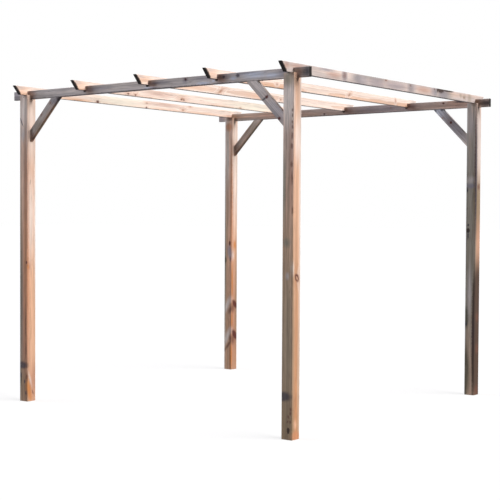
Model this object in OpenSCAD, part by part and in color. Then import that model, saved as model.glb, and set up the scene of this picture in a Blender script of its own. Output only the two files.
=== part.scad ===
// Free-standing timber pergola.
// Four square posts have forked heads, and two beams stand on edge in the forks.
// Five rafters lie across the beams, each notched over both of them, with bevelled ends.
// A mitred knee brace stiffens each corner between a post and its beam.
// The ground is z = 0. Beams run along X, rafters along Y, and the front is at -Y.

/* [Frame] */
// Spacing of the post centres along the beams
post_span_x = 2700; // [1800:10:4000]
// Spacing of the post centres along the rafters
post_span_y = 2700; // [1800:10:4000]
// Clear height from the ground to the underside of the beams
headroom = 2500; // [1900:10:3000]

/* [Posts] */
// Side of the square post section
post_side = 90; // [80:1:150]
// Radius of the eased long edges of a post
post_arris = 4; // [1:0.5:8]

/* [Beams] */
// Thickness of a beam
beam_thick = 30; // [20:1:45]
// Height of a beam on edge
beam_high = 70; // [60:1:150]
// Length of beam past the outer face of its posts
beam_overhang = 105; // [40:5:300]

/* [Rafters] */
// Thickness of a rafter
rafter_thick = 30; // [20:1:45]
// Height of a rafter on edge
rafter_high = 70; // [60:1:150]
// Length of rafter past the outer face of the posts, along its top edge
rafter_overhang = 105; // [95:5:300]
// Depth of the notch that drops over a beam
notch_deep = 35; // [15:1:45]
// Length by which the bevelled end is set back along the bottom edge
bevel_run = 60; // [20:1:90]

/* [Knee braces] */
// Thickness of a brace
brace_thick = 30; // [20:1:45]
// Width of a brace
brace_wide = 70; // [50:1:100]
// Reach of a brace along the beam, from the side of the post
brace_run = 350; // [200:5:600]
// Drop of a brace down the post, from the underside of the beam
brace_drop = 350; // [200:5:600]

/* [Fit and finish] */
// Gap on each side of a beam in a fork or in a notch
side_gap = 0.3; // [0.1:0.1:1]
// Radius of the eased long edges of the boards
board_arris = 3; // [1:0.5:6]

/* [Hidden] */

// Sides of the frame, as signs along X and Y
left = -1;
right = 1;
front = -1;
back = 1;

// Rafters are numbered from the left, and the end ones stand over the posts
rafter_count = 5;
rafter_pitch = post_span_x / (rafter_count - 1);

// The fork's cheeks reach the underside of the rafters, which rest on them
slot_wide = beam_thick + 2 * side_gap;
cheek_high = beam_high - notch_deep;
post_high = headroom + cheek_high;

beam_length = post_span_x + post_side + 2 * beam_overhang;

rafter_base = headroom + beam_high - notch_deep;
rafter_length = post_span_y + post_side + 2 * rafter_overhang;
notch_wide = beam_thick + 2 * side_gap;

brace_angle = atan2(brace_drop, brace_run);
brace_length = norm([brace_run, brace_drop]);

// Cutting shapes run this far past what they cut
over = 10;

post_colour = "peru";
beam_colour = "rosybrown";
rafter_colour = "burlywood";
brace_colour = "tan";

$fn = 48;

// Rectangle about the origin with rounded corners, as a planed timber is cut through
module eased_section(across, up, arris) {
    square([across - 2 * arris, up], center = true);
    square([across, up - 2 * arris], center = true);
    for (x = [-1, 1], y = [-1, 1])
        translate([x * (across / 2 - arris), y * (up / 2 - arris)])
            circle(arris);
}

// Timber lying along X, centred on the origin
module timber_along_x(length, thick, high, arris) {
    rotate([90, 0, 90])
        linear_extrude(length, center = true)
            eased_section(thick, high, arris);
}

// Timber lying along Y, centred on the origin
module timber_along_y(length, thick, high, arris) {
    rotate([90, 0, 0])
        linear_extrude(length, center = true)
            eased_section(thick, high, arris);
}

// Upright post with an open slot across its head for the beam
module post(side_x, side_y) {
    color(post_colour)
        translate([side_x * post_span_x / 2, side_y * post_span_y / 2, 0])
            difference() {
                linear_extrude(post_high)
                    eased_section(post_side, post_side, post_arris);
                translate([-post_side / 2 - over, -slot_wide / 2, headroom])
                    cube([post_side + 2 * over, slot_wide, cheek_high + over]);
            }
}

// Board on edge that stands on the floors of two forks
module beam(side_y) {
    color(beam_colour)
        translate([0, side_y * post_span_y / 2, headroom + beam_high / 2])
            timber_along_x(beam_length, beam_thick, beam_high, board_arris);
}

// Half the length of a rafter at a height above its bottom edge
function rafter_half(height) =
    rafter_length / 2 - bevel_run * (1 - height / rafter_high);

// Side view of a rafter: ends bevelled back at the bottom, a notch over each beam
module rafter_outline() {
    low = -over;
    high = rafter_high + over;
    difference() {
        polygon([
            [-rafter_half(low), low],
            [rafter_half(low), low],
            [rafter_half(high), high],
            [-rafter_half(high), high]
        ]);
        for (side_y = [front, back])
            translate([side_y * post_span_y / 2 - notch_wide / 2, low])
                square([notch_wide, notch_deep - low]);
    }
}

// Board on edge that drops over both beams, counted from the left
module rafter(number) {
    color(rafter_colour)
        translate([(number - 1) * rafter_pitch - post_span_x / 2, 0, rafter_base])
            intersection() {
                translate([0, 0, rafter_high / 2])
                    timber_along_y(rafter_length + 2 * over, rafter_thick, rafter_high, board_arris);
                rotate([90, 0, 90])
                    linear_extrude(rafter_thick + 2 * over, center = true)
                        rafter_outline();
            }
}

// Sloping board, mitred against the side of the post and the underside of the beam.
// It is drawn for a left post, from the corner where post and beam meet.
module mitred_brace() {
    intersection() {
        translate([0, 0, -brace_drop])
            rotate([0, -brace_angle, 0])
                translate([brace_length / 2, 0, brace_wide / 2])
                    timber_along_x(brace_length + 2 * over, brace_thick, brace_wide, board_arris);
        translate([0, -brace_thick / 2 - over, -brace_drop - over])
            cube([brace_run + over, brace_thick + 2 * over, brace_drop + over]);
    }
}

module knee_brace(side_x, side_y) {
    color(brace_colour)
        translate([side_x * (post_span_x - post_side) / 2, side_y * post_span_y / 2, headroom])
            mirror([side_x == right ? 1 : 0, 0, 0])
                mitred_brace();
}

post(left, front);  // post_front_left
post(right, front);  // post_front_right
post(left, back);  // post_back_left
post(right, back);  // post_back_right
beam(front);  // beam_front
beam(back);  // beam_back
rafter(1);  // rafter_1
rafter(2);  // rafter_2
rafter(3);  // rafter_3
rafter(4);  // rafter_4
rafter(5);  // rafter_5
knee_brace(left, front);  // brace_front_left
knee_brace(right, front);  // brace_front_right
knee_brace(left, back);  // brace_back_left
knee_brace(right, back);  // brace_back_right
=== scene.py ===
"""Finishes the pergola: weathered softwood on every timber, screws at the joints, a plain stage."""

import math
from functools import partial
from typing import NamedTuple

import bmesh
import bpy
from mathutils import Matrix, Vector


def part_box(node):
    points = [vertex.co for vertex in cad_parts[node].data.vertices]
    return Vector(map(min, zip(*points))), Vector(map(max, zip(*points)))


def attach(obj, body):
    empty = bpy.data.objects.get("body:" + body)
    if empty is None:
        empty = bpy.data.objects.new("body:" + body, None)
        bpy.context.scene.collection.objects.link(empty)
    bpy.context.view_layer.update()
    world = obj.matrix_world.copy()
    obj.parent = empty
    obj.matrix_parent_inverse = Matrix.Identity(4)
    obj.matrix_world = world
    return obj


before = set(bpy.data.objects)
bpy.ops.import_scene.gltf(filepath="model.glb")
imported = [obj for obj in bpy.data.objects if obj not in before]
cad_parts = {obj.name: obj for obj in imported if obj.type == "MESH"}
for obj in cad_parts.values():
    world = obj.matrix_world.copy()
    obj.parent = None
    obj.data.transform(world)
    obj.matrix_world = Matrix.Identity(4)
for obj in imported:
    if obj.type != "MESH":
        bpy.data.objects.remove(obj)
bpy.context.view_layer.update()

bl_info = {
    "name": "Timber Pergola",
    "version": (1, 0, 0),
    "blender": (4, 5, 0),
    "location": "View3D > Sidebar > Pergola",
    "description": "Finishes a garden pergola's timbers and fixings and sets it on a plain stage",
    "category": "Object",
}

MM = 0.001
BODY = "root"
X, Y, Z = 0, 1, 2
UP = Vector((0, 0, 1))


def linear(hex_colour):
    """Linear red, green and blue of an sRGB hex colour."""
    parts = [int(hex_colour[i : i + 2], 16) / 255 for i in (0, 2, 4)]
    return tuple(c / 12.92 if c <= 0.04045 else ((c + 0.055) / 1.055) ** 2.4 for c in parts)


def add_node(tree, kind, inputs=None, **settings):
    """Adds a shader node with its settings, and links or fills its inputs.

    An input is named, or counted among those in use. A node given as a value is linked by its first
    output in use.
    """
    node = tree.nodes.new("ShaderNode" + kind)
    for name, value in settings.items():
        setattr(node, name, value)
    sockets = [socket for socket in node.inputs if socket.enabled]
    for key, value in (inputs or {}).items():
        socket = sockets[key] if isinstance(key, int) else next(s for s in sockets if s.name == key)
        if isinstance(value, bpy.types.Node):
            value = next(output for output in value.outputs if output.enabled)
        if isinstance(value, bpy.types.NodeSocket):
            tree.links.new(value, socket)
        elif socket.type == "RGBA":
            socket.default_value = (*value, 1)
        else:
            socket.default_value = value
    return node


# What each timber is like


class Mark(NamedTuple):
    """A knot or a patch on a face: its place and half sizes in the shared frame, in millimetres."""

    along: float  # place along the timber's axis
    across: float  # place across the face
    long: float  # half its length
    wide: float  # half its width
    face: str = ""  # which face of a post; on a board it shows on both sides
    tilt: float = 0  # degrees that its top leans, or its end drops on a board, towards +X or +Y


class Timber(NamedTuple):
    """One timber's own character."""

    seed: float  # picks its grain
    silver: float  # strength of its greying; most are under 1
    heart: float  # radius of the heartwood, in millimetres
    pith: tuple  # from the middle of the section to the heart of the tree, in millimetres
    marks: dict  # knots and patches by kind
    damp: float = 0.0  # how far its foot has darkened, 0 to 1


class MarkKind(NamedTuple):
    """How a kind of mark colours the wood."""

    colour: str  # setting that holds its colour
    strength: float  # how far it covers the wood
    inner: float  # it starts to fade here, where 1 is the mark's rim
    rim: float  # and has faded out here


# Later kinds lie over earlier ones
# Reddened wood, wet wood, stain and dirt also stand for painted shade where timbers meet, along undersides
# and on shaded stubs
MARK_KINDS = {
    "heart": MarkKind("heartwood", 0.75, 0.1, 1.35),
    "sap": MarkKind("sapwood", 0.88, 0.1, 1.35),
    "cream": MarkKind("cream", 0.85, 0.1, 1.35),
    "blush": MarkKind("blush", 0.6, 0.1, 1.4),
    "algae": MarkKind("algae", 0.8, 0.1, 1.4),
    "lichen": MarkKind("lichen", 0.8, 0.1, 1.4),
    "grime": MarkKind("grime", 0.6, 0.1, 1.4),
    "amber": MarkKind("amber", 0.85, 0.4, 1.4),
    "moss": MarkKind("moss", 0.8, 0.55, 1.4),
    "mould": MarkKind("mould", 0.7, 0.35, 1.3),
    "grey": MarkKind("silver", 0.8, 0.1, 1.4),
    "bleach": MarkKind("bleach", 0.85, 0.1, 1.3),
    "resin": MarkKind("resin", 0.8, 0.2, 1.25),
    "wet": MarkKind("wet", 0.94, 0.7, 1.15),
    "stain": MarkKind("stain", 0.75, 0.2, 1.3),
    "soil": MarkKind("soil", 0.85, 0.45, 1.25),
    "live": MarkKind("live_knot", 0.75, 0.3, 1.2),
    "dead": MarkKind("dead_knot", 0.98, 0.5, 1.15),
    "core": MarkKind("heartwood", 0.75, 0.2, 1.2),
}
KNOTS = ("live", "dead")

# A mark reaches this far into a post from its face, and to each side from the middle of a board
MARK_DEPTH = 30

POSTS = {
    "post_front_left": Timber(
        seed=1.3, silver=0.5, heart=75, pith=(10, 14), damp=0.1,
        marks={
            "sap": (
                Mark(2280, -1350, 380, 70, "right"), Mark(1600, -1312, 700, 14, "right"),
                Mark(1540, -1365, 430, 62, "right"), Mark(190, -1366, 90, 14, "right", -18),
                Mark(2400, -1350, 190, 64, "front"),
            ),
            "blush": (
                Mark(500, -1340, 1100, 80, "front"), Mark(1750, -1325, 640, 34, "front"),
                Mark(1118, -1376, 34, 18, "right"), Mark(160, -1325, 200, 50, "right"),
            ),
            "algae": (Mark(800, -1388, 1000, 32, "front"),),
            "grime": (Mark(120, -1350, 260, 110, "front"),),
            "amber": (Mark(1080, -1322, 900, 26, "front"),),
            "moss": (Mark(200, -1386, 70, 14, "front"),),
            "grey": (Mark(2205, -1358, 64, 26, "front"),),
            "resin": (Mark(95, -1376, 125, 30, "right", -12), Mark(1118, -1386, 28, 9, "right")),
            "stain": (
                Mark(640, -1326, 120, 7, "front"), Mark(430, -1322, 90, 7, "front"),
                Mark(205, -1393, 40, 8, "right"), Mark(72, -1334, 24, 8, "right", -20),
            ),
            "soil": (
                Mark(2318, -1377, 55, 6, "front", -28), Mark(300, -1372, 34, 84, "front"),
                Mark(218, -1385, 26, 12, "front"), Mark(165, -1336, 18, 10, "front"),
                Mark(70, -1322, 20, 8, "front"),
            ),
            "live": (Mark(1650, -1345, 18, 12, "back"), Mark(820, -1362, 20, 13, "left")),
            "dead": (Mark(1154, -1315, 16, 10, "front"),),
        },
    ),
    "post_front_right": Timber(
        seed=2.1, silver=0.6, heart=70, pith=(-12, 10), damp=0.9,
        marks={
            "heart": (Mark(105, -1360, 40, 26, "right"),),
            "sap": (
                Mark(2080, -1350, 190, 40, "right"), Mark(1185, -1388, 60, 12, "right"),
                Mark(2330, 1345, 190, 80, "front"),
            ),
            "blush": (Mark(1820, 1374, 380, 24, "front"),),
            "algae": (Mark(1365, 1340, 38, 36, "front"), Mark(1750, 1316, 300, 16, "front")),
            "lichen": (Mark(600, 1345, 1000, 120, "front"), Mark(2490, 1345, 60, 60, "front")),
            "grime": (Mark(80, 1350, 240, 110, "front"),),
            "amber": (Mark(24, -1345, 34, 50, "right"),),
            "grey": (Mark(1134, 1350, 28, 16, "front"),),
            "wet": (Mark(66, 1364, 24, 13, "front"),),
            "stain": (
                Mark(2277, 1384, 14, 8, "front"), Mark(2240, 1385, 16, 7, "front"),
                Mark(2195, 1383, 16, 8, "front"), Mark(2161, 1384, 18, 9, "front"),
                Mark(2102, 1384, 34, 10, "front"), Mark(2030, 1380, 24, 11, "front"),
                Mark(1905, 1380, 24, 13, "front"), Mark(1806, 1384, 56, 10, "front"),
                Mark(1587, 1388, 36, 8, "front"), Mark(214, 1384, 17, 12, "front"),
                Mark(186, 1381, 18, 12, "front"), Mark(160, 1366, 17, 11, "front", -30),
                Mark(128, 1359, 15, 10, "front", 30), Mark(126, 1380, 15, 11, "front"),
            ),
            "soil": (Mark(300, 1320, 38, 76, "front"),),
            "live": (Mark(1980, 1330, 16, 10, "back"), Mark(900, -1350, 20, 14, "left")),
            "dead": (Mark(1123, -1346, 36, 26, "right", -35),),
            "core": (Mark(1121, -1345, 22, 12, "right", -35),),
        },
    ),
    "post_back_left": Timber(
        seed=3.7, silver=0.3, heart=66, pith=(-8, -14), damp=0.35,
        marks={
            "heart": (Mark(2200, -1335, 420, 30, "front"),),
            "sap": (
                Mark(2000, 1350, 640, 70, "right"), Mark(2360, 1350, 190, 70, "right"),
                Mark(1150, 1324, 54, 30, "right"), Mark(400, 1318, 44, 22, "right"),
                Mark(714, 1318, 44, 22, "right"), Mark(398, -1316, 44, 18, "front"),
                Mark(706, -1316, 44, 18, "front"), Mark(330, -1358, 115, 32, "front", 24),
                Mark(650, -1358, 110, 30, "front", 24), Mark(2150, -1360, 340, 24, "front"),
            ),
            "blush": (Mark(1500, -1317, 1200, 18, "front"), Mark(480, 1350, 800, 120, "right")),
            "algae": (Mark(1000, -1388, 900, 16, "front"),),
            "grime": (Mark(620, 1376, 640, 26, "right"),),
            "amber": (
                Mark(2440, -1346, 44, 44, "front"), Mark(1650, -1314, 700, 12, "front"),
                Mark(120, -1316, 160, 14, "front"),
            ),
            "moss": (Mark(1104, -1382, 36, 12, "front"),),
            "mould": (Mark(1184, -1330, 88, 32, "front", -8),),
            "resin": (
                Mark(1256, 1356, 52, 24, "right"), Mark(130, -1313, 200, 10, "front"),
                Mark(880, 1318, 240, 14, "right"), Mark(500, 1316, 110, 12, "right"),
                Mark(150, 1312, 140, 10, "right"),
            ),
            "stain": (
                Mark(2522, -1338, 26, 48, "front"), Mark(1115, -1320, 34, 9, "front"),
                Mark(248, -1342, 90, 17, "front", 38), Mark(606, -1316, 58, 25, "front", 28),
                Mark(316, -1314, 42, 22, "front"), Mark(303, 1330, 58, 40, "right"),
                Mark(622, 1330, 54, 36, "right"),
            ),
            "live": (Mark(1900, 1345, 18, 12, "back"),),
            "dead": (
                Mark(1273, -1329, 26, 15, "front"), Mark(659, 1361, 60, 31, "right", -40),
                Mark(350, 1361, 72, 36, "right", -38),
            ),
        },
    ),
    "post_back_right": Timber(
        seed=4.9, silver=0.7, heart=72, pith=(12, -8),
        marks={
            "sap": (Mark(2150, 1350, 520, 80, "right"), Mark(1876, 1350, 24, 60, "right")),
            "blush": (Mark(1550, 1350, 420, 100, "right"),),
            "algae": (Mark(1300, 1345, 1500, 130, "front"),),
            "lichen": (Mark(1720, 1350, 230, 90, "right"),),
            "grime": (Mark(1680, 1350, 330, 100, "right"),),
            "moss": (Mark(190, 1310, 240, 44, "front"), Mark(680, 1310, 90, 34, "front")),
            "mould": (Mark(1822, 1345, 26, 60, "front"), Mark(520, 1384, 220, 14, "front")),
            "grey": (
                Mark(2350, 1345, 150, 40, "front"), Mark(1871, 1350, 38, 60, "front"),
                Mark(900, 1345, 260, 24, "front"), Mark(2230, 1350, 380, 90, "right"),
            ),
            # The long wet patch is a painted shadow over the lower right face; the small one is a dark
            # knot
            "wet": (Mark(540, 1366, 700, 150, "right"), Mark(1433, 1326, 24, 18, "front")),
            "stain": (
                Mark(2080, 1392, 520, 13, "front"), Mark(680, 1356, 44, 34, "right"),
                Mark(405, 1356, 50, 34, "right"), Mark(45, 1354, 50, 38, "right"),
                Mark(1812, 1360, 34, 30, "right"),
            ),
            "soil": (
                Mark(1785, 1314, 26, 10, "front"), Mark(1480, 1328, 14, 10, "front"),
                Mark(1390, 1327, 40, 8, "front"), Mark(620, 1316, 26, 13, "front"),
                Mark(1900, 1395, 640, 6, "front"),
            ),
            "live": (Mark(1250, 1352, 20, 13, "back"), Mark(760, 1340, 22, 14, "left")),
        },
    ),
}

# Painted shade on both beams, in the deepest corner at the foot of each rafter between the posts
RAFTER_FOOT_SHADE = (Mark(-667, 2529, 18, 10), Mark(8, 2529, 18, 10), Mark(683, 2529, 18, 10))

BEAMS = {
    "beam_front": Timber(
        seed=5.2, silver=0.85, heart=44, pith=(52, -12),
        marks={
            # These reddened patches beside each rafter are painted shade, warmed by painted light thrown
            # off the rafter's lit side
            "blush": (
                Mark(-1285, 2536, 60, 50), Mark(-610, 2540, 56, 40), Mark(64, 2540, 58, 40),
                Mark(735, 2540, 60, 46), Mark(1420, 2540, 60, 46),
            ),
            "mould": (
                Mark(640, 2550, 220, 22), Mark(100, 2545, 180, 18), Mark(-560, 2540, 240, 20),
                Mark(1290, 2540, 90, 40), Mark(-1480, 2535, 90, 60), Mark(960, 2558, 140, 14),
                Mark(385, 2545, 36, 30),
            ),
            "bleach": (
                Mark(1040, 2540, 150, 32), Mark(1180, 2530, 90, 26), Mark(840, 2532, 40, 18),
                Mark(560, 2514, 90, 14), Mark(40, 2514, 80, 12), Mark(655, 2522, 20, 9),
            ),
            "wet": RAFTER_FOOT_SHADE,
            # These stain patches are painted shade: beside each rafter, and under the beam beside both
            # posts
            "stain": (
                Mark(-1320, 2545, 24, 34), Mark(-646, 2552, 22, 26), Mark(28, 2552, 22, 26),
                Mark(716, 2548, 48, 40), Mark(1372, 2556, 12, 18), Mark(-1286, 2508, 22, 18),
                Mark(1412, 2508, 22, 18),
            ),
            # Of these dirt patches, the patch on the right-hand stub and the strip along the bottom edge
            # are painted shade
            "soil": (
                Mark(880, 2550, 22, 17), Mark(752, 2546, 14, 16), Mark(1495, 2535, 70, 60),
                Mark(389, 2552, 16, 16), Mark(0, 2498, 2000, 11),
            ),
            "dead": (Mark(389, 2553, 12, 9),),
        },
    ),
    "beam_back": Timber(
        seed=6.4, silver=0.5, heart=58, pith=(-46, 18),
        marks={
            # The small reddened patches beside rafters 3 and 4 are painted shade, warmed by painted light
            # thrown off the rafters' lit sides
            "blush": (
                Mark(-700, 2535, 500, 40), Mark(60, 2540, 60, 40), Mark(735, 2540, 60, 40),
                Mark(1180, 2535, 220, 60),
            ),
            "mould": (Mark(400, 2535, 700, 70), Mark(-1480, 2535, 80, 60)),
            "wet": RAFTER_FOOT_SHADE,
            # These stain patches are painted shade: beside the rafters, and under the beam beside the left
            # post
            "stain": (
                Mark(30, 2550, 24, 30), Mark(705, 2550, 24, 30), Mark(1385, 2540, 34, 50),
                Mark(-1284, 2514, 30, 26),
            ),
            # These dirt patches are painted shade: on the right-hand stub, in the corner under rafter_5
            # and along the bottom edge
            "soil": (Mark(1470, 2535, 90, 40), Mark(1225, 2558, 80, 16), Mark(0, 2498, 2000, 10)),
            "live": (Mark(520, 2540, 15, 9), Mark(-760, 2548, 16, 10)),
            "dead": (Mark(-212, 2519, 17, 10), Mark(1057, 2552, 18, 11)),
        },
    ),
}

# Every rafter has painted shade along its bottom edge, and painted shade along the rim of its bevelled
# front end that widens the dark end
UNDER_EDGE_SHADE = Mark(0, 2532, 3000, 6)
FRONT_RIM_SHADE = Mark(-1470, 2570, 64, 13, tilt=49)

# The pale ones are also pink at the front end and grey near both tips
PALE_RAFTER = {
    "heart": (Mark(-1430, 2570, 110, 60),),
    "grey": (Mark(-1452, 2596, 60, 26), Mark(1440, 2588, 70, 40)),
    "wet": (FRONT_RIM_SHADE,),
    "soil": (UNDER_EDGE_SHADE,),
}

RAFTERS = {
    "rafter_1": Timber(
        seed=7.1, silver=0.06, heart=46, pith=(-44, -16),
        marks={
            **PALE_RAFTER,
            "sap": (Mark(-200, 2568, 500, 50),),
            "cream": (Mark(-300, 2566, 420, 60),),
            # The second reddened patch, at the back beam, is painted shade
            "blush": (Mark(330, 2590, 260, 24), Mark(1290, 2545, 60, 20)),
            "live": (
                Mark(81, 2584, 24, 10), Mark(589, 2556, 24, 13), Mark(694, 2597, 18, 8),
                Mark(-1050, 2580, 13, 8),
            ),
            "dead": (Mark(-555, 2546, 27, 19), Mark(75, 2541, 18, 12)),
        },
    ),
    "rafter_2": Timber(
        seed=8.3, silver=0.05, heart=43, pith=(-40, -26),
        marks={
            **PALE_RAFTER,
            "sap": (Mark(900, 2568, 330, 50),),
            "cream": (Mark(780, 2566, 520, 60),),
            # The second reddened patch, at the back beam, is painted shade
            "blush": (Mark(-500, 2580, 200, 30), Mark(1290, 2545, 60, 20)),
            "live": (
                Mark(-875, 2551, 24, 11), Mark(-788, 2549, 22, 10), Mark(-194, 2562, 38, 16),
                Mark(620, 2543, 32, 10), Mark(1120, 2578, 14, 9),
            ),
            "dead": (
                Mark(-875, 2549, 14, 9), Mark(-788, 2548, 13, 8), Mark(-208, 2554, 15, 9),
                Mark(-176, 2552, 14, 9),
            ),
        },
    ),
    "rafter_3": Timber(
        seed=9.6, silver=0.08, heart=48, pith=(-47, 12),
        marks={
            **PALE_RAFTER,
            # This stain patch at the back beam is painted shade
            "stain": (Mark(1318, 2540, 24, 12),),
            "live": (Mark(-500, 2562, 50, 13, tilt=-30), Mark(330, 2560, 15, 9)),
        },
    ),
    "rafter_4": Timber(
        seed=10.8, silver=0.05, heart=50, pith=(-45, -8),
        marks={
            **PALE_RAFTER,
            # This stain patch at the back beam is painted shade
            "stain": (Mark(1318, 2540, 24, 12),),
            "live": (
                Mark(379, 2566, 30, 11, tilt=-35), Mark(1130, 2576, 9, 16), Mark(-640, 2562, 15, 9),
            ),
        },
    ),
    "rafter_5": Timber(
        seed=11.5, silver=2.2, heart=40, pith=(-38, 20),
        marks={
            "blush": (
                Mark(-860, 2565, 120, 30), Mark(440, 2570, 150, 40), Mark(-1440, 2580, 36, 34),
                Mark(-1300, 2585, 120, 20),
            ),
            "algae": (
                Mark(-545, 2578, 66, 40), Mark(-330, 2622, 300, 56), Mark(640, 2572, 36, 44),
                Mark(790, 2560, 150, 60),
            ),
            "lichen": (
                Mark(1070, 2580, 26, 24), Mark(1136, 2572, 40, 26), Mark(1230, 2570, 40, 50),
                Mark(232, 2572, 46, 50),
            ),
            "mould": (
                Mark(-500, 2568, 170, 70), Mark(-280, 2567, 190, 60), Mark(238, 2568, 90, 60),
                Mark(-720, 2575, 50, 60), Mark(0, 2565, 230, 44), Mark(760, 2568, 150, 70),
                Mark(620, 2572, 80, 50), Mark(-960, 2596, 110, 14),
            ),
            "wet": (
                Mark(720, 2600, 80, 36), Mark(840, 2604, 130, 18), Mark(664, 2592, 12, 26),
                FRONT_RIM_SHADE,
            ),
            "stain": (
                Mark(-722, 2580, 36, 40), Mark(228, 2588, 20, 12), Mark(618, 2594, 16, 12),
                Mark(1130, 2566, 20, 12),
            ),
            "soil": (UNDER_EDGE_SHADE,),
            "dead": (Mark(-143, 2597, 14, 9),),
        },
    ),
}

BRACES = {
    "brace_front_left": Timber(
        seed=12.2, silver=0.6, heart=52, pith=(46, 10),
        marks={
            "lichen": (Mark(-1210, 2280, 80, 80),),
            "mould": (Mark(-1000, 2470, 90, 40),),
            # The stain at the foot and the dirt at the top, where the brace meets the post and the beam,
            # are painted shade
            "stain": (Mark(-1285, 2190, 44, 60),),
            "soil": (Mark(-966, 2488, 34, 26),),
            "live": (Mark(-1172, 2372, 11, 10), Mark(-1060, 2458, 9, 9)),
        },
    ),
    "brace_front_right": Timber(
        seed=13.4, silver=0.8, heart=48, pith=(50, -8),
        marks={
            "mould": (Mark(1215, 2265, 130, 130),),
            "grey": (Mark(1130, 2330, 260, 260),),
            "soil": (Mark(1117, 2369, 34, 11, tilt=-30),),
            "dead": (Mark(1140, 2382, 20, 18), Mark(1093, 2356, 13, 11), Mark(1248, 2226, 20, 18)),
        },
    ),
    "brace_back_left": Timber(
        seed=14.7, silver=0.25, heart=55, pith=(-44, 6),
        marks={
            "blush": (Mark(-1150, 2340, 260, 240),),
            "lichen": (Mark(-1080, 2430, 120, 120),),
            "grime": (Mark(-1220, 2270, 170, 150),),
            "stain": (Mark(-1270, 2210, 90, 100),),
            "live": (Mark(-1150, 2402, 11, 10),),
        },
    ),
    "brace_back_right": Timber(
        seed=15.9, silver=0.75, heart=50, pith=(-48, -12),
        marks={
            "mould": (Mark(1130, 2330, 220, 200),),
            "bleach": (Mark(980, 2480, 130, 130),),
            # These dirt patches at the top, under the beam, are painted shade
            "soil": (Mark(972, 2488, 26, 18), Mark(1044, 2494, 20, 14)),
            "live": (Mark(1050, 2423, 11, 11),),
            "dead": (Mark(1132, 2378, 19, 18),),
        },
    ),
}

# Which axes a group's marks are measured on: along the timber, across its face, through it. Marks on
# braces are measured as on beams
BEAM_AXES = (X, Z, Y)
RAFTER_AXES = (Y, Z, X)
POST_AXES = {"front": (Z, X, Y), "back": (Z, X, Y), "left": (Z, Y, X), "right": (Z, Y, X)}
LOW_FACES = ("front", "left")


def ellipsoid(node, mark, axes):
    """Centre, half sizes and turn of a mark, through the middle of a board or on a post's face."""
    low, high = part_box(node)
    along, across, through = axes[mark.face] if mark.face else axes
    centre = (low + high) / 2
    if mark.face:
        centre[through] = low[through] if mark.face in LOW_FACES else high[through]
    centre[along] = mark.along * MM
    centre[across] = mark.across * MM
    radii = Vector()
    radii[along] = mark.long * MM
    radii[across] = mark.wide * MM
    radii[through] = MARK_DEPTH * MM
    turn = Vector()
    turn[through] = math.radians(mark.tilt if through == Y else -mark.tilt)
    return centre, radii, turn


# Settings that a user would change


def colour_setting(name, description, hex_colour):
    """A property that holds a colour, with the hex value as its default."""
    return bpy.props.FloatVectorProperty(
        name=name, description=description, subtype="COLOR", min=0, max=1, default=linear(hex_colour))


class TimberLook(bpy.types.PropertyGroup):
    """Colours and grain of the wood."""

    heartwood: colour_setting("Heartwood", "Pinkish wood near the middle of the tree", "E8BC9C")
    sapwood: colour_setting("Sapwood", "Pale wood near the bark", "FAEADE")
    cream: colour_setting("Yellowed sapwood", "Pale wood that light has yellowed", "EEECDA")
    latewood: colour_setting("Latewood", "Dark band at the end of each year's growth", "C08A66")
    silver: colour_setting("Silvered wood", "Wood that sun and rain have greyed", "CCC1BC")
    live_knot: colour_setting("Live knot", "Branch that has grown into the wood", "A06A4C")
    dead_knot: colour_setting("Dead knot", "Branch that the wood has closed round", "5A2E27")
    # Stain also stands for painted shade beside the rafters and where timbers meet
    stain: colour_setting("Stain", "Bark, resin and dirt on the surface", "6E4A3C")
    # Reddened wood also stands for painted shade beside the rafters, warmed by painted light thrown off
    # their lit sides
    blush: colour_setting("Reddened wood", "Wood that its own tannin has reddened", "B07C68")
    resin: colour_setting("Resin", "Orange wood that resin has soaked", "CE8444")
    algae: colour_setting("Algae", "Thin green-grey growth on damp wood", "7F8378")
    lichen: colour_setting("Lichen", "Olive film on damp wood", "A0927C")
    grime: colour_setting("Grime", "Brown film of earth and dust", "8C7A60")
    amber: colour_setting("Amber wood", "Orange-brown wood where a worn surface has come away", "D0926C")
    moss: colour_setting("Moss", "Dark green growth on damp wood", "4A4A38")
    # Dirt also stands for painted shade along undersides, at the tops of braces and on shaded beam stubs
    soil: colour_setting("Dirt", "Dirt that has soaked into the wood", "403E48")
    # Wet wood also stands for painted shade: the deepest corners under the rafters, the rims of the
    # rafters' front ends, and a painted shadow low on a post
    wet: colour_setting("Wet wood", "Wood that never dries out", "35261F")
    mould: colour_setting("Blue stain", "Blue-grey wood where damp has sat", "8E8A96")
    bleach: colour_setting("Bleached wood", "Wood that the sun has bleached", "E2EAFC")
    damp: colour_setting("Damp foot", "Tint of wood that draws water from the ground", "D4C0A8")
    # The end grain colour is near black: darker end grain with painted shade on top
    end_grain_and_shade: colour_setting("End grain", "Weathered saw cuts across the grain", "0B0909")
    ring_spacing: bpy.props.FloatProperty(
        name="Ring spacing", description="Width of a year's growth, drawn coarse enough to show",
        unit="LENGTH", min=0.002, max=0.03, default=9 * MM)
    damp_height: bpy.props.FloatProperty(
        name="Damp height", description="How far up the posts the damp has reached",
        unit="LENGTH", min=0.6, max=3, default=2.4)


class ScrewSizes(bpy.types.PropertyGroup):
    """Sizes and finish of the screws."""

    head: bpy.props.FloatProperty(
        name="Head diameter", description="Across a screw's head",
        unit="LENGTH", min=0.004, max=0.02, default=9 * MM)
    rise: bpy.props.FloatProperty(
        name="Head rise", description="How far a head stands out of the wood",
        unit="LENGTH", min=0.0005, max=0.005, default=1.2 * MM)
    recess: bpy.props.FloatProperty(
        name="Drive recess", description="Across the hole for the driver",
        unit="LENGTH", min=0.002, max=0.008, default=4 * MM)
    brace_inset: bpy.props.FloatProperty(
        name="Brace inset", description="From the tip of a brace to its screw, along the long edge",
        unit="LENGTH", min=0.02, max=0.15, default=55 * MM)
    zinc: colour_setting("Zinc", "Dull plating on the screws", "8E8A84")


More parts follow.
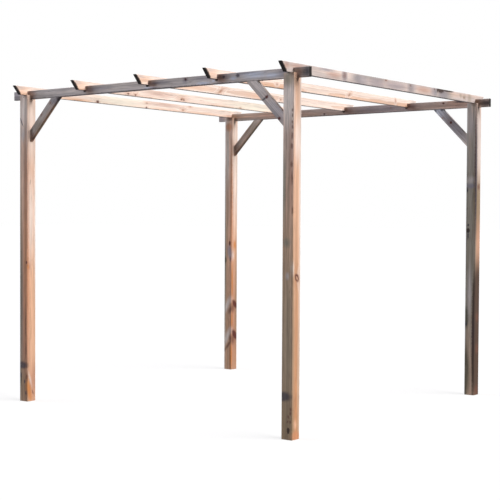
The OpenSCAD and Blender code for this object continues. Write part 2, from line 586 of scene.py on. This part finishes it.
class StageSettings(bpy.types.PropertyGroup):
    """Floor, light and camera."""

    floor: colour_setting("Floor", "Colour of the floor", "FFFFFF")
    floor_size: bpy.props.FloatProperty(
        name="Floor size", description="Side of the square floor",
        unit="LENGTH", min=10, max=500, default=240)
    key: colour_setting("Key", "Colour of the main light", "FFF9F7")
    key_strength: bpy.props.FloatProperty(
        name="Key strength", description="Strength of the main light", min=0, max=10, default=4.3)
    key_height: bpy.props.FloatProperty(
        name="Key height", description="Angle of the main light above the floor",
        subtype="ANGLE", min=0, max=math.pi / 2, default=math.radians(42))
    key_turn: bpy.props.FloatProperty(
        name="Key turn", description="Turn of the main light from the right towards the back",
        subtype="ANGLE", min=-math.pi, max=math.pi, default=math.radians(12))
    key_softness: bpy.props.FloatProperty(
        name="Key softness", description="Angle across the main light",
        subtype="ANGLE", min=0, max=math.pi, default=math.radians(50))
    fill: colour_setting("Fill", "Colour of the light from the front left", "ECF2FF")
    fill_strength: bpy.props.FloatProperty(
        name="Fill strength", description="Strength of the light from the front left",
        min=0, max=10, default=2.35)
    fill_height: bpy.props.FloatProperty(
        name="Fill height", description="Angle of the fill light above the floor",
        subtype="ANGLE", min=0, max=math.pi / 2, default=math.radians(25))
    fill_turn: bpy.props.FloatProperty(
        name="Fill turn", description="Turn of the fill light from the right, through the back",
        subtype="ANGLE", min=-math.pi, max=2 * math.pi, default=math.radians(212))
    fill_softness: bpy.props.FloatProperty(
        name="Fill softness", description="Angle across the fill light",
        subtype="ANGLE", min=0, max=math.pi, default=math.radians(50))
    ambient: colour_setting("Ambient", "Colour of the light from all round", "F0F4FF")
    ambient_strength: bpy.props.FloatProperty(
        name="Ambient strength", description="Strength of the light from all round",
        min=0, max=5, default=0.09)
    camera_place: bpy.props.FloatVectorProperty(
        name="Camera", description="Where the camera stands",
        subtype="XYZ", unit="LENGTH", default=(6.165, -8.031, 1.547))
    camera_heading: bpy.props.FloatProperty(
        name="Heading", description="Turn of the camera to the left of straight ahead",
        subtype="ANGLE", default=math.radians(37.776))
    camera_tilt: bpy.props.FloatProperty(
        name="Tilt", description="Tilt of the camera above level",
        subtype="ANGLE", default=math.radians(-1.63))
    camera_roll: bpy.props.FloatProperty(
        name="Roll", description="Roll of the camera about its view",
        subtype="ANGLE", default=math.radians(0.32))
    camera_lens: bpy.props.FloatProperty(
        name="Lens", description="Focal length in millimetres on a 36 mm sensor",
        min=10, max=300, default=85.66)


# Wood

# Lengths and widths of the patterns along the grain, in millimetres; fibres are drawn coarser than
# real ones, so that they show
PATTERNS = {
    "wander": (900, 400),
    "fibre": (120, 5),
    "streak": (1300, 26),
    "weather": (700, 45),
    "crack": (650, 22),
}

# Each pattern starts this far from the last in the noise
NEXT_PATTERN = 20

# A mark's rim is ragged at this size and strays this far, in millimetres
RAGGED_RIM = 14
RIM_REACH = 12

# How far the pith wanders and a knot pushes the rings aside, and half the width of the border between
# heartwood and sapwood, in millimetres
WANDER_REACH = 34
KNOT_PUSH = 16
HEART_BORDER = 7

# A knot disturbs the grain from near its rim outwards, where 1 is its rim, and reddens it this much
KNOT_HALO = (0.8, 3.5)
HALO_TINT = 0.35

# Latewood: how sharply a year's growth darkens, how far, and how far fibres fray its edge
RING_SHARPNESS = 2.5
RING_DEPTH = 0.35
RING_FRAY = 0.5

# Noise lies mostly between these values, about its middle
NOISE_LOW = 0.3
NOISE_MIDDLE = 0.5
NOISE_HIGH = 0.7

# How much of a face turns to an axis before it counts as facing that way
FACING = (0.3, 0.8)
UPWARD = (0.5, 0.95)

# Greying: least share on sheltered faces, heights in metres where it starts and is full, least share
# near the ground, range of the patches, and the share that lying rain adds on top
SHELTERED = 0.4
GREY_HEIGHTS = (1.1, 2.45)
GREY_LOW = 0.1
GREY_PATCHES = (0.55, 1.25)
GREY_TOP = 0.4

# Darkest and lightest that streaks and fibres make the wood, and how much more on the weather side
STREAK_SHADES = (0.88, 1.12)
FIBRE_SHADES = (0.9, 1.08)
WEATHER_SIDE = 2

# Damp at a foot: height in metres where it starts to fade, and how far streaks carry it up
DAMP_FULL = 0.5
DAMP_CREEP = 0.8

# Drying checks: half width in the noise, how dark, and where the weather pattern lets them open
CHECK_WIDTH = 0.012
CHECK_DARK = 0.5
CHECK_OPENS = (0.5, 0.62)

# A face that turns this far to the grain is a saw cut
SAW_CUT = (0.45, 0.6)

# Relief of the planed surface: strength, height in millimetres, and rings and checks beside fibres
BUMP_STRENGTH = 0.4
BUMP_HEIGHT = 0.6
RING_RELIEF = 0.5
CHECK_DEPTH = 2.5

# Least and most roughness between fibres, and the weak gleam of dry wood
ROUGHNESS = (0.66, 0.84)
SPECULAR = 0.25

SMOOTH = {"interpolation_type": "SMOOTHSTEP"}


def nearest_mark(tree, place, marks):
    """How far a point is from the nearest of one or more marks, where 1 is that mark's rim."""
    nearest = None
    for centre, radii, turn in marks:
        offset = add_node(
            tree, "Mapping",
            {"Vector": place, "Location": centre, "Rotation": turn, "Scale": radii},
            vector_type="TEXTURE")
        distance = add_node(tree, "VectorMath", {0: offset}, operation="LENGTH")
        if nearest:
            distance = add_node(tree, "Math", {0: nearest, 1: distance}, operation="MINIMUM")
        nearest = distance
    return nearest


def grain_pattern(tree, board, seed, size):
    """Noise drawn out along the grain to a length and a width in millimetres."""
    long, wide = size
    repeats = (1 / (long * MM), 1 / (wide * MM), 1 / (wide * MM))
    stretched = add_node(tree, "VectorMath", {0: board, 1: repeats}, operation="MULTIPLY")
    return add_node(
        tree, "TexNoise", {"Vector": stretched, "W": seed, "Scale": 1}, noise_dimensions="4D")


def ragged_place(tree, place, seed):
    """A point moved a little, so that the marks measured from it have ragged rims."""
    rag = add_node(
        tree, "TexNoise", {"Vector": place, "W": seed, "Scale": 1 / (RAGGED_RIM * MM)},
        noise_dimensions="4D")
    reach = RIM_REACH * MM
    moved = add_node(
        tree, "VectorMath", {0: rag.outputs["Color"], 1: (reach, reach, reach), 2: place},
        operation="MULTIPLY_ADD")
    return add_node(
        tree, "VectorMath", {0: moved, 1: (reach / 2, reach / 2, reach / 2)}, operation="SUBTRACT")


def ring_radius(tree, board, wander, halo):
    """Distance from the pith, which wanders so that a straight cut crosses the rings in long arches.
    The rings part round the knots."""
    reach = WANDER_REACH * MM
    bent = add_node(
        tree, "VectorMath", {0: wander.outputs["Color"], 1: (0, reach, reach), 2: board},
        operation="MULTIPLY_ADD")
    section = add_node(tree, "VectorMath", {0: bent, 1: (0, 1, 1)}, operation="MULTIPLY")
    radius = add_node(tree, "VectorMath", {0: section}, operation="LENGTH")
    return add_node(tree, "Math", {0: halo, 1: KNOT_PUSH * MM, 2: radius}, operation="MULTIPLY_ADD")


def latewood(tree, ring, fibre, look):
    """How far along its year's growth a point is, rising sharply towards the dark end."""
    years = add_node(tree, "Math", {0: ring, 1: 1 / look.ring_spacing}, operation="MULTIPLY")
    years = add_node(tree, "Math", {0: fibre, 1: RING_FRAY, 2: years}, operation="MULTIPLY_ADD")
    season = add_node(tree, "Math", {0: years}, operation="FRACT")
    return add_node(tree, "Math", {0: season, 1: RING_SHARPNESS}, operation="POWER")


def greying(tree, normal, height, facing, weather, silver):
    """Share of grey: in patches, most high up, on faces across the rafters' run and where rain lies."""
    node = partial(add_node, tree)
    exposed = node("MapRange", {
        "Value": facing, "From Min": FACING[0], "From Max": FACING[1], "To Min": SHELTERED}, **SMOOTH)
    high = node("MapRange", {
        "Value": height, "From Min": GREY_HEIGHTS[0], "From Max": GREY_HEIGHTS[1],
        "To Min": GREY_LOW}, **SMOOTH)
    exposed = node("Math", {0: exposed, 1: high}, operation="MULTIPLY")
    patchy = node("MapRange", {
        "Value": weather, "From Min": NOISE_LOW, "From Max": NOISE_HIGH,
        "To Min": GREY_PATCHES[0], "To Max": GREY_PATCHES[1]}, **SMOOTH)
    grey = node("Math", {0: patchy, 1: exposed}, operation="MULTIPLY")
    upward = node("VectorMath", {0: normal, 1: UP}, operation="DOT_PRODUCT")
    wetted = node("MapRange", {
        "Value": upward, "From Min": UPWARD[0], "From Max": UPWARD[1], "To Max": GREY_TOP}, **SMOOTH)
    return node("Math", {0: grey, 1: silver, 2: wetted}, operation="MULTIPLY_ADD", use_clamp=True)


def dampness(tree, height, streak, look, damp):
    """Share of damp: most at a post's foot, fading upwards in uneven streaks."""
    uneven = add_node(tree, "Math", {0: streak, 1: DAMP_CREEP, 2: height}, operation="MULTIPLY_ADD")
    return add_node(
        tree, "MapRange", {
            "Value": uneven, "From Min": DAMP_FULL, "From Max": look.damp_height,
            "To Min": damp, "To Max": 0},
        **SMOOTH)


def shading(tree, streak, fibre, facing):
    """Light and dark from streaks and fibres, stronger on the weather sides."""
    node = partial(add_node, tree)
    streaky = node("MapRange", {
        "Value": streak, "From Min": NOISE_LOW, "From Max": NOISE_HIGH,
        "To Min": STREAK_SHADES[0], "To Max": STREAK_SHADES[1]}, **SMOOTH)
    fibrous = node("MapRange", {
        "Value": fibre, "From Min": NOISE_LOW, "From Max": NOISE_HIGH,
        "To Min": FIBRE_SHADES[0], "To Max": FIBRE_SHADES[1]}, **SMOOTH)
    shade = node("Math", {0: streaky, 1: fibrous}, operation="MULTIPLY")
    worn = node("MapRange", {
        "Value": facing, "From Min": FACING[0], "From Max": FACING[1],
        "To Min": 1, "To Max": WEATHER_SIDE}, **SMOOTH)
    return node("Math", {0: shade, 1: worn}, operation="POWER")


def drying_checks(tree, crack, weather):
    """Thin cracks along the grain, in patches."""
    node = partial(add_node, tree)
    check = node("Math", {0: crack, 1: NOISE_MIDDLE}, operation="SUBTRACT")
    check = node("Math", {0: check}, operation="ABSOLUTE")
    check = node("MapRange", {
        "Value": check, "From Max": CHECK_WIDTH, "To Min": CHECK_DARK, "To Max": 0}, **SMOOTH)
    dry = node("MapRange", {
        "Value": weather, "From Min": CHECK_OPENS[0], "From Max": CHECK_OPENS[1]}, **SMOOTH)
    return node("Math", {0: check, 1: dry}, operation="MULTIPLY")


def weathered_softwood(name, look, grain, pith, timber, marks):
    """Planed softwood left outdoors: year rings cut lengthwise as long streaks, pink heartwood and pale
    sapwood, knots that the grain flows round, grey where the weather reaches, and near black on the saw
    cuts: darker end grain with painted shade."""
    material = bpy.data.materials.new(name)
    material.use_nodes = True
    tree = material.node_tree
    tree.nodes.clear()
    node = partial(add_node, tree)
    coords = node("TexCoord")
    place = coords.outputs["Object"]
    normal = coords.outputs["Normal"]
    height = node("SeparateXYZ", {0: place}).outputs["Z"]
    facing = node("VectorMath", {0: normal}, operation="ABSOLUTE")
    facing = node("SeparateXYZ", {0: facing}).outputs["Y"]

    # In board coordinates X runs along the grain, and Y and Z are measured from the pith
    turn = grain.to_track_quat("X", "Z").to_euler()
    board = node(
        "Mapping", {"Vector": place, "Location": pith, "Rotation": turn}, vector_type="TEXTURE")
    wander, fibre, streak, weather, crack = (
        grain_pattern(tree, board, timber.seed + NEXT_PATTERN * count, size)
        for count, size in enumerate(PATTERNS.values()))

    # Heartwood, sapwood and year rings
    ragged = ragged_place(tree, place, timber.seed)
    knots = [mark for kind in KNOTS for mark in marks.get(kind, ())]
    halo = node("MapRange", {
        "Value": nearest_mark(tree, ragged, knots), "From Min": KNOT_HALO[0], "From Max": KNOT_HALO[1],
        "To Min": 1, "To Max": 0}, **SMOOTH)
    ring = ring_radius(tree, board, wander, halo)
    heart = timber.heart * MM
    border = HEART_BORDER * MM
    sap = node("MapRange", {
        "Value": ring, "From Min": heart - border, "From Max": heart + border}, **SMOOTH)
    wood = node("Mix", {"Factor": sap, "A": look.heartwood, "B": look.sapwood}, data_type="RGBA")
    late = latewood(tree, ring, fibre, look)
    band = node("Math", {0: late, 1: RING_DEPTH}, operation="MULTIPLY")
    wood = node("Mix", {"Factor": band, "A": wood, "B": look.latewood}, data_type="RGBA")

    # Weather
    grey = greying(tree, normal, height, facing, weather, timber.silver)
    wood = node("Mix", {"Factor": grey, "A": wood, "B": look.silver}, data_type="RGBA")
    if timber.damp:
        wet = dampness(tree, height, streak, look, timber.damp)
        wood = node(
            "Mix", {"Factor": wet, "A": wood, "B": look.damp}, data_type="RGBA", blend_type="MULTIPLY")

    # Reddened wood round the knots, then the marks themselves
    tint = node("Math", {0: halo, 1: HALO_TINT}, operation="MULTIPLY")
    wood = node("Mix", {"Factor": tint, "A": wood, "B": look.latewood}, data_type="RGBA")
    for kind, facts in MARK_KINDS.items():
        if kind in marks:
            cover = node("MapRange", {
                "Value": nearest_mark(tree, ragged, marks[kind]), "From Min": facts.inner,
                "From Max": facts.rim, "To Min": facts.strength, "To Max": 0}, **SMOOTH)
            colour = getattr(look, facts.colour)
            wood = node("Mix", {"Factor": cover, "A": wood, "B": colour}, data_type="RGBA")

    # Streaks, cracks, and saw cuts near black: darker end grain with painted shade
    shade = shading(tree, streak, fibre, facing)
    wood = node("VectorMath", {0: wood, "Scale": shade}, operation="SCALE")
    check = drying_checks(tree, crack, weather)
    wood = node("Mix", {"Factor": check, "A": wood, "B": look.stain}, data_type="RGBA")
    # A face across the grain gets the near-black saw-cut colour: darker end grain with painted shade on
    # top
    across = node("VectorMath", {0: normal, 1: grain}, operation="DOT_PRODUCT")
    across = node("Math", {0: across}, operation="ABSOLUTE")
    cut = node("MapRange", {"Value": across, "From Min": SAW_CUT[0], "From Max": SAW_CUT[1]}, **SMOOTH)
    saw_cut_and_shade = node("Mix", {"Factor": band, "A": look.end_grain_and_shade, "B": look.wet}, data_type="RGBA")
    wood = node("Mix", {"Factor": cut, "A": wood, "B": saw_cut_and_shade}, data_type="RGBA")

    relief = node("Math", {0: late, 1: RING_RELIEF, 2: fibre}, operation="MULTIPLY_ADD")
    relief = node("Math", {0: check, 1: -CHECK_DEPTH, 2: relief}, operation="MULTIPLY_ADD")
    bump = node(
        "Bump", {"Strength": BUMP_STRENGTH, "Distance": BUMP_HEIGHT * MM, "Height": relief})
    rough = node("MapRange", {
        "Value": fibre, "From Min": NOISE_LOW, "From Max": NOISE_HIGH,
        "To Min": ROUGHNESS[0], "To Max": ROUGHNESS[1]})
    shader = node("BsdfPrincipled", {
        "Base Color": wood, "Roughness": rough, "Specular IOR Level": SPECULAR, "Normal": bump})
    node("OutputMaterial", {"Surface": shader})
    return material


def finish_timbers(context, timbers, grain_of, axes):
    """Gives each timber of a group its own wood."""
    look = context.scene.pergola_timber
    for name, timber in timbers.items():
        low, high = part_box(name)
        grain = grain_of(name)
        turn = grain.to_track_quat("X", "Z")
        pith = (low + high) / 2 + turn @ Vector((0, timber.pith[0] * MM, timber.pith[1] * MM))
        marks = {
            kind: [ellipsoid(name, mark, axes) for mark in group]
            for kind, group in timber.marks.items()
        }
        wood = weathered_softwood(f"Weathered softwood {name}", look, grain, pith, timber, marks)
        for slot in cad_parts[name].material_slots:
            slot.material = wood


def long_edge(brace):
    """The two tips of a brace's long lower edge: at its post and at its beam."""
    low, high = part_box(brace)
    middle = (low.y + high.y) / 2
    foot, head = (low.x, high.x) if low.x < 0 else (high.x, low.x)
    return Vector((foot, middle, low.z)), Vector((head, middle, high.z))


def brace_grain(brace):
    """Up the slope of a brace."""
    foot, head = long_edge(brace)
    return (head - foot).normalized()


class PERGOLA_OT_finish_posts(bpy.types.Operator):
    """Gives the four posts their wood"""

    bl_idname = "pergola.finish_posts"
    bl_label = "Finish posts"

    def execute(self, context):
        finish_timbers(context, POSTS, lambda post: UP, POST_AXES)
        return {"FINISHED"}


class PERGOLA_OT_finish_beams(bpy.types.Operator):
    """Gives the two beams their wood"""

    bl_idname = "pergola.finish_beams"
    bl_label = "Finish beams"

    def execute(self, context):
        finish_timbers(context, BEAMS, lambda beam: Vector((1, 0, 0)), BEAM_AXES)
        return {"FINISHED"}


class PERGOLA_OT_finish_rafters(bpy.types.Operator):
    """Gives the rafters their wood"""

    bl_idname = "pergola.finish_rafters"
    bl_label = "Finish rafters"

    def execute(self, context):
        finish_timbers(context, RAFTERS, lambda rafter: Vector((0, 1, 0)), RAFTER_AXES)
        return {"FINISHED"}


class PERGOLA_OT_finish_braces(bpy.types.Operator):
    """Gives the knee braces their wood"""

    bl_idname = "pergola.finish_braces"
    bl_label = "Finish braces"

    def execute(self, context):
        finish_timbers(context, BRACES, brace_grain, BEAM_AXES)
        return {"FINISHED"}


# Screws

HEAD_SIDES = 24
HEAD_TAPER = 0.8  # a head's flat top, as a share of its width
SUNK = 2 * MM  # how far a head reaches into the wood
RECESS_DEPTH = 1.6 * MM
RECESS_TAPER = 1 / 8  # how far each side of a recess draws in, as a share of its width
CHEEK_SCREW_HEIGHT = 18 * MM  # above the underside of the beam
ZINC_BLOTCH = 3 * MM  # width of a blotch in the plating
ZINC_DULLED = 0.55  # brightness left where the plating has weathered most
ZINC_ROUGHNESS = (0.4, 0.65)


def drive_screw(bm, sizes, place, outward):
    """Adds a screw head with a drive recess, set in the wood and facing outward."""
    height = sizes.rise + SUNK
    radius = sizes.head / 2
    aim = outward.to_track_quat("Z", "Y").to_matrix().to_4x4()
    middle = Matrix.Translation(place + outward * (height / 2 - SUNK))
    made = bmesh.ops.create_cone(
        bm, cap_ends=True, segments=HEAD_SIDES, radius1=radius, radius2=radius * HEAD_TAPER,
        depth=height, matrix=middle @ aim)
    faces = {face for vertex in made["verts"] for face in vertex.link_faces}
    top = max(faces, key=lambda face: face.calc_center_median().dot(outward))
    land = radius * HEAD_TAPER - sizes.recess / 2
    bmesh.ops.inset_individual(bm, faces=[top], thickness=land, depth=0)
    bmesh.ops.inset_individual(bm, faces=[top], thickness=sizes.recess * RECESS_TAPER, depth=-RECESS_DEPTH)


def zinc_plated_steel(settings):
    """Dull plated steel: a soft grey gleam, blotched where the plating has weathered."""
    material = bpy.data.materials.new("Zinc-plated steel")
    material.use_nodes = True
    tree = material.node_tree
    tree.nodes.clear()
    node = partial(add_node, tree)
    place = node("TexCoord").outputs["Object"]
    blotch = node("TexNoise", {"Vector": place, "Scale": 1 / ZINC_BLOTCH})
    dulled = [ZINC_DULLED * c for c in settings.zinc]
    colour = node("Mix", {"Factor": blotch, "A": dulled, "B": settings.zinc}, data_type="RGBA")
    rough = node("MapRange", {
        "Value": blotch, "To Min": ZINC_ROUGHNESS[0], "To Max": ZINC_ROUGHNESS[1]})
    shader = node("BsdfPrincipled", {"Base Color": colour, "Metallic": 1, "Roughness": rough})
    node("OutputMaterial", {"Surface": shader})
    return material


class PERGOLA_OT_drive_screws(bpy.types.Operator):
    """Drives the screws that hold the beams, the rafters and the braces"""

    bl_idname = "pergola.drive_screws"
    bl_label = "Drive screws"

    def execute(self, context):
        sizes = context.scene.pergola_screws
        steel = zinc_plated_steel(sizes)
        groups = {
            "fork_screws": self.fork_places(),
            "rafter_screws": self.rafter_places(),
            "brace_screws": self.brace_places(sizes),
        }
        for name, places in groups.items():
            mesh = bpy.data.meshes.new(name)
            bm = bmesh.new()
            for place, outward in places:
                drive_screw(bm, sizes, place, outward)
            bm.to_mesh(mesh)
            bm.free()
            mesh.materials.append(steel)
            screws = bpy.data.objects.new(name, mesh)
            context.collection.objects.link(screws)
            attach(screws, BODY)
        return {"FINISHED"}

    def fork_places(self):
        """In both cheeks of each fork, through to the beam."""
        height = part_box("beam_front")[0].z + CHEEK_SCREW_HEIGHT
        for post in POSTS:
            low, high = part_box(post)
            middle = (low.x + high.x) / 2
            yield Vector((middle, low.y, height)), Vector((0, -1, 0))
            yield Vector((middle, high.y, height)), Vector((0, 1, 0))

    def rafter_places(self):
        """In the top edge of each rafter, over each beam."""
        for rafter in RAFTERS:
            low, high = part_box(rafter)
            for beam in BEAMS:
                near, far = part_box(beam)
                yield Vector(((low.x + high.x) / 2, (near.y + far.y) / 2, high.z)), UP

    def brace_places(self, sizes):
        """In the long lower edge of each brace, near both tips."""
        for brace in BRACES:
            foot, head = long_edge(brace)
            along = (head - foot).normalized()
            outward = Vector((math.copysign(along.z, along.x), 0, -abs(along.x)))
            yield foot + along * sizes.brace_inset, outward
            yield head - along * sizes.brace_inset, outward


# Stage

# The floor shows this share of its colour by itself and this share by the light on it, so that it is
# white with a faint shadow; light that bounces off it to the timbers is dimmer
FLOOR_GLOW = 0.78
FLOOR_LIT = 0.2
FLOOR_BOUNCE = 0.05

# Width of the camera's sensor, in millimetres
SENSOR = 36


def seen_directly(tree):
    """1 for what the camera sees, also in metal and through glass, and 0 for light on the object."""
    path = add_node(tree, "LightPath")
    mirrored = add_node(
        tree, "Math", {0: path.outputs["Is Camera Ray"], 1: path.outputs["Is Glossy Ray"]},
        operation="MAXIMUM")
    return add_node(
        tree, "Math", {0: mirrored, 1: path.outputs["Is Transmission Ray"]}, operation="MAXIMUM")


def matt_floor_paint(settings):
    """Matt white paint: looks white, takes a faint soft shadow and throws little light back up."""
    material = bpy.data.materials.new("Matt white floor paint")
    material.use_nodes = True
    tree = material.node_tree
    tree.nodes.clear()
    node = partial(add_node, tree)
    lit = node("BsdfDiffuse", {"Color": [FLOOR_LIT * c for c in settings.floor]})
    glow = node("Emission", {"Color": settings.floor, "Strength": FLOOR_GLOW})
    shown = node("AddShader", {0: lit, 1: glow})
    bounce = node("BsdfDiffuse", {"Color": [FLOOR_BOUNCE * c for c in settings.floor]})
    surface = node("MixShader", {0: seen_directly(tree), 1: bounce, 2: shown})
    node("OutputMaterial", {"Surface": surface})
    return material


def aim_sun(context, name, colour, strength, softness, height, turn):
    """Adds a soft light so far away that it comes from one side all over the stage."""
    sun = bpy.data.lights.new(name, "SUN")
    sun.color = colour
    sun.energy = strength
    sun.angle = softness
    lamp = bpy.data.objects.new(name, sun)
    lean = Matrix.Rotation(math.pi / 2 - height, 4, "Y")
    lamp.matrix_world = Matrix.Rotation(turn, 4, "Z") @ lean
    context.collection.objects.link(lamp)


class PERGOLA_OT_build_stage(bpy.types.Operator):
    """Lays the floor and sets the light and the camera"""

    bl_idname = "pergola.build_stage"
    bl_label = "Build stage"

    def execute(self, context):
        settings = context.scene.pergola_stage
        self.lay_floor(context, settings)
        self.set_light(context, settings)
        self.set_camera(context, settings)
        context.scene.view_settings.view_transform = "Standard"
        return {"FINISHED"}

    def lay_floor(self, context, settings):
        """Lays one flat square under the posts."""
        mesh = bpy.data.meshes.new("floor")
        bm = bmesh.new()
        bmesh.ops.create_grid(bm, x_segments=1, y_segments=1, size=settings.floor_size / 2)
        bm.to_mesh(mesh)
        bm.free()
        mesh.materials.append(matt_floor_paint(settings))
        floor = bpy.data.objects.new("floor", mesh)
        context.collection.objects.link(floor)

    def set_light(self, context, settings):
        """Adds two soft lights and dim light from all round, against white."""
        aim_sun(
            context, "key", settings.key, settings.key_strength, settings.key_softness,
            settings.key_height, settings.key_turn)
        aim_sun(
            context, "fill", settings.fill, settings.fill_strength, settings.fill_softness,
            settings.fill_height, settings.fill_turn)
        world = bpy.data.worlds.new("studio")
        context.scene.world = world
        world.use_nodes = True
        tree = world.node_tree
        tree.nodes.clear()
        node = partial(add_node, tree)
        ambient = node(
            "Background", {"Color": settings.ambient, "Strength": settings.ambient_strength})
        white = node("Background", {"Color": (1, 1, 1), "Strength": 1})
        surface = node("MixShader", {0: seen_directly(tree), 1: ambient, 2: white})
        node("OutputWorld", {"Surface": surface})

    def set_camera(self, context, settings):
        """Stands the camera at eye height, off the front right corner."""
        lens = bpy.data.cameras.new("camera")
        lens.sensor_width = SENSOR
        lens.lens = settings.camera_lens
        lens.clip_end = settings.floor_size
        camera = bpy.data.objects.new("camera", lens)
        camera.matrix_world = (
            Matrix.Translation(settings.camera_place)
            @ Matrix.Rotation(settings.camera_heading, 4, "Z")
            @ Matrix.Rotation(math.pi / 2 + settings.camera_tilt, 4, "X")
            @ Matrix.Rotation(settings.camera_roll, 4, "Z"))
        context.collection.objects.link(camera)
        context.scene.camera = camera


STEPS = (
    PERGOLA_OT_finish_posts,
    PERGOLA_OT_finish_beams,
    PERGOLA_OT_finish_rafters,
    PERGOLA_OT_finish_braces,
    PERGOLA_OT_drive_screws,
    PERGOLA_OT_build_stage,
)


class PERGOLA_PT_build(bpy.types.Panel):
    """Lists the steps that finish the pergola"""

    bl_idname = "PERGOLA_PT_build"
    bl_label = "Pergola"
    bl_space_type = "VIEW_3D"
    bl_region_type = "UI"
    bl_category = "Pergola"

    def draw(self, context):
        for step in STEPS:
            self.layout.operator(step.bl_idname)


GROUPS = {
    "pergola_timber": TimberLook,
    "pergola_screws": ScrewSizes,
    "pergola_stage": StageSettings,
}
CLASSES = (*GROUPS.values(), *STEPS, PERGOLA_PT_build)


def register():
    for each in CLASSES:
        bpy.utils.register_class(each)
    for name, group in GROUPS.items():
        setattr(bpy.types.Scene, name, bpy.props.PointerProperty(type=group))


def unregister():
    for name in GROUPS:
        delattr(bpy.types.Scene, name)
    for each in reversed(CLASSES):
        bpy.utils.unregister_class(each)


def main():
    register()
    bpy.ops.pergola.finish_posts()
    bpy.ops.pergola.finish_beams()
    bpy.ops.pergola.finish_rafters()
    bpy.ops.pergola.finish_braces()
    bpy.ops.pergola.drive_screws()
    bpy.ops.pergola.build_stage()


if __name__ == "__main__":
    main()
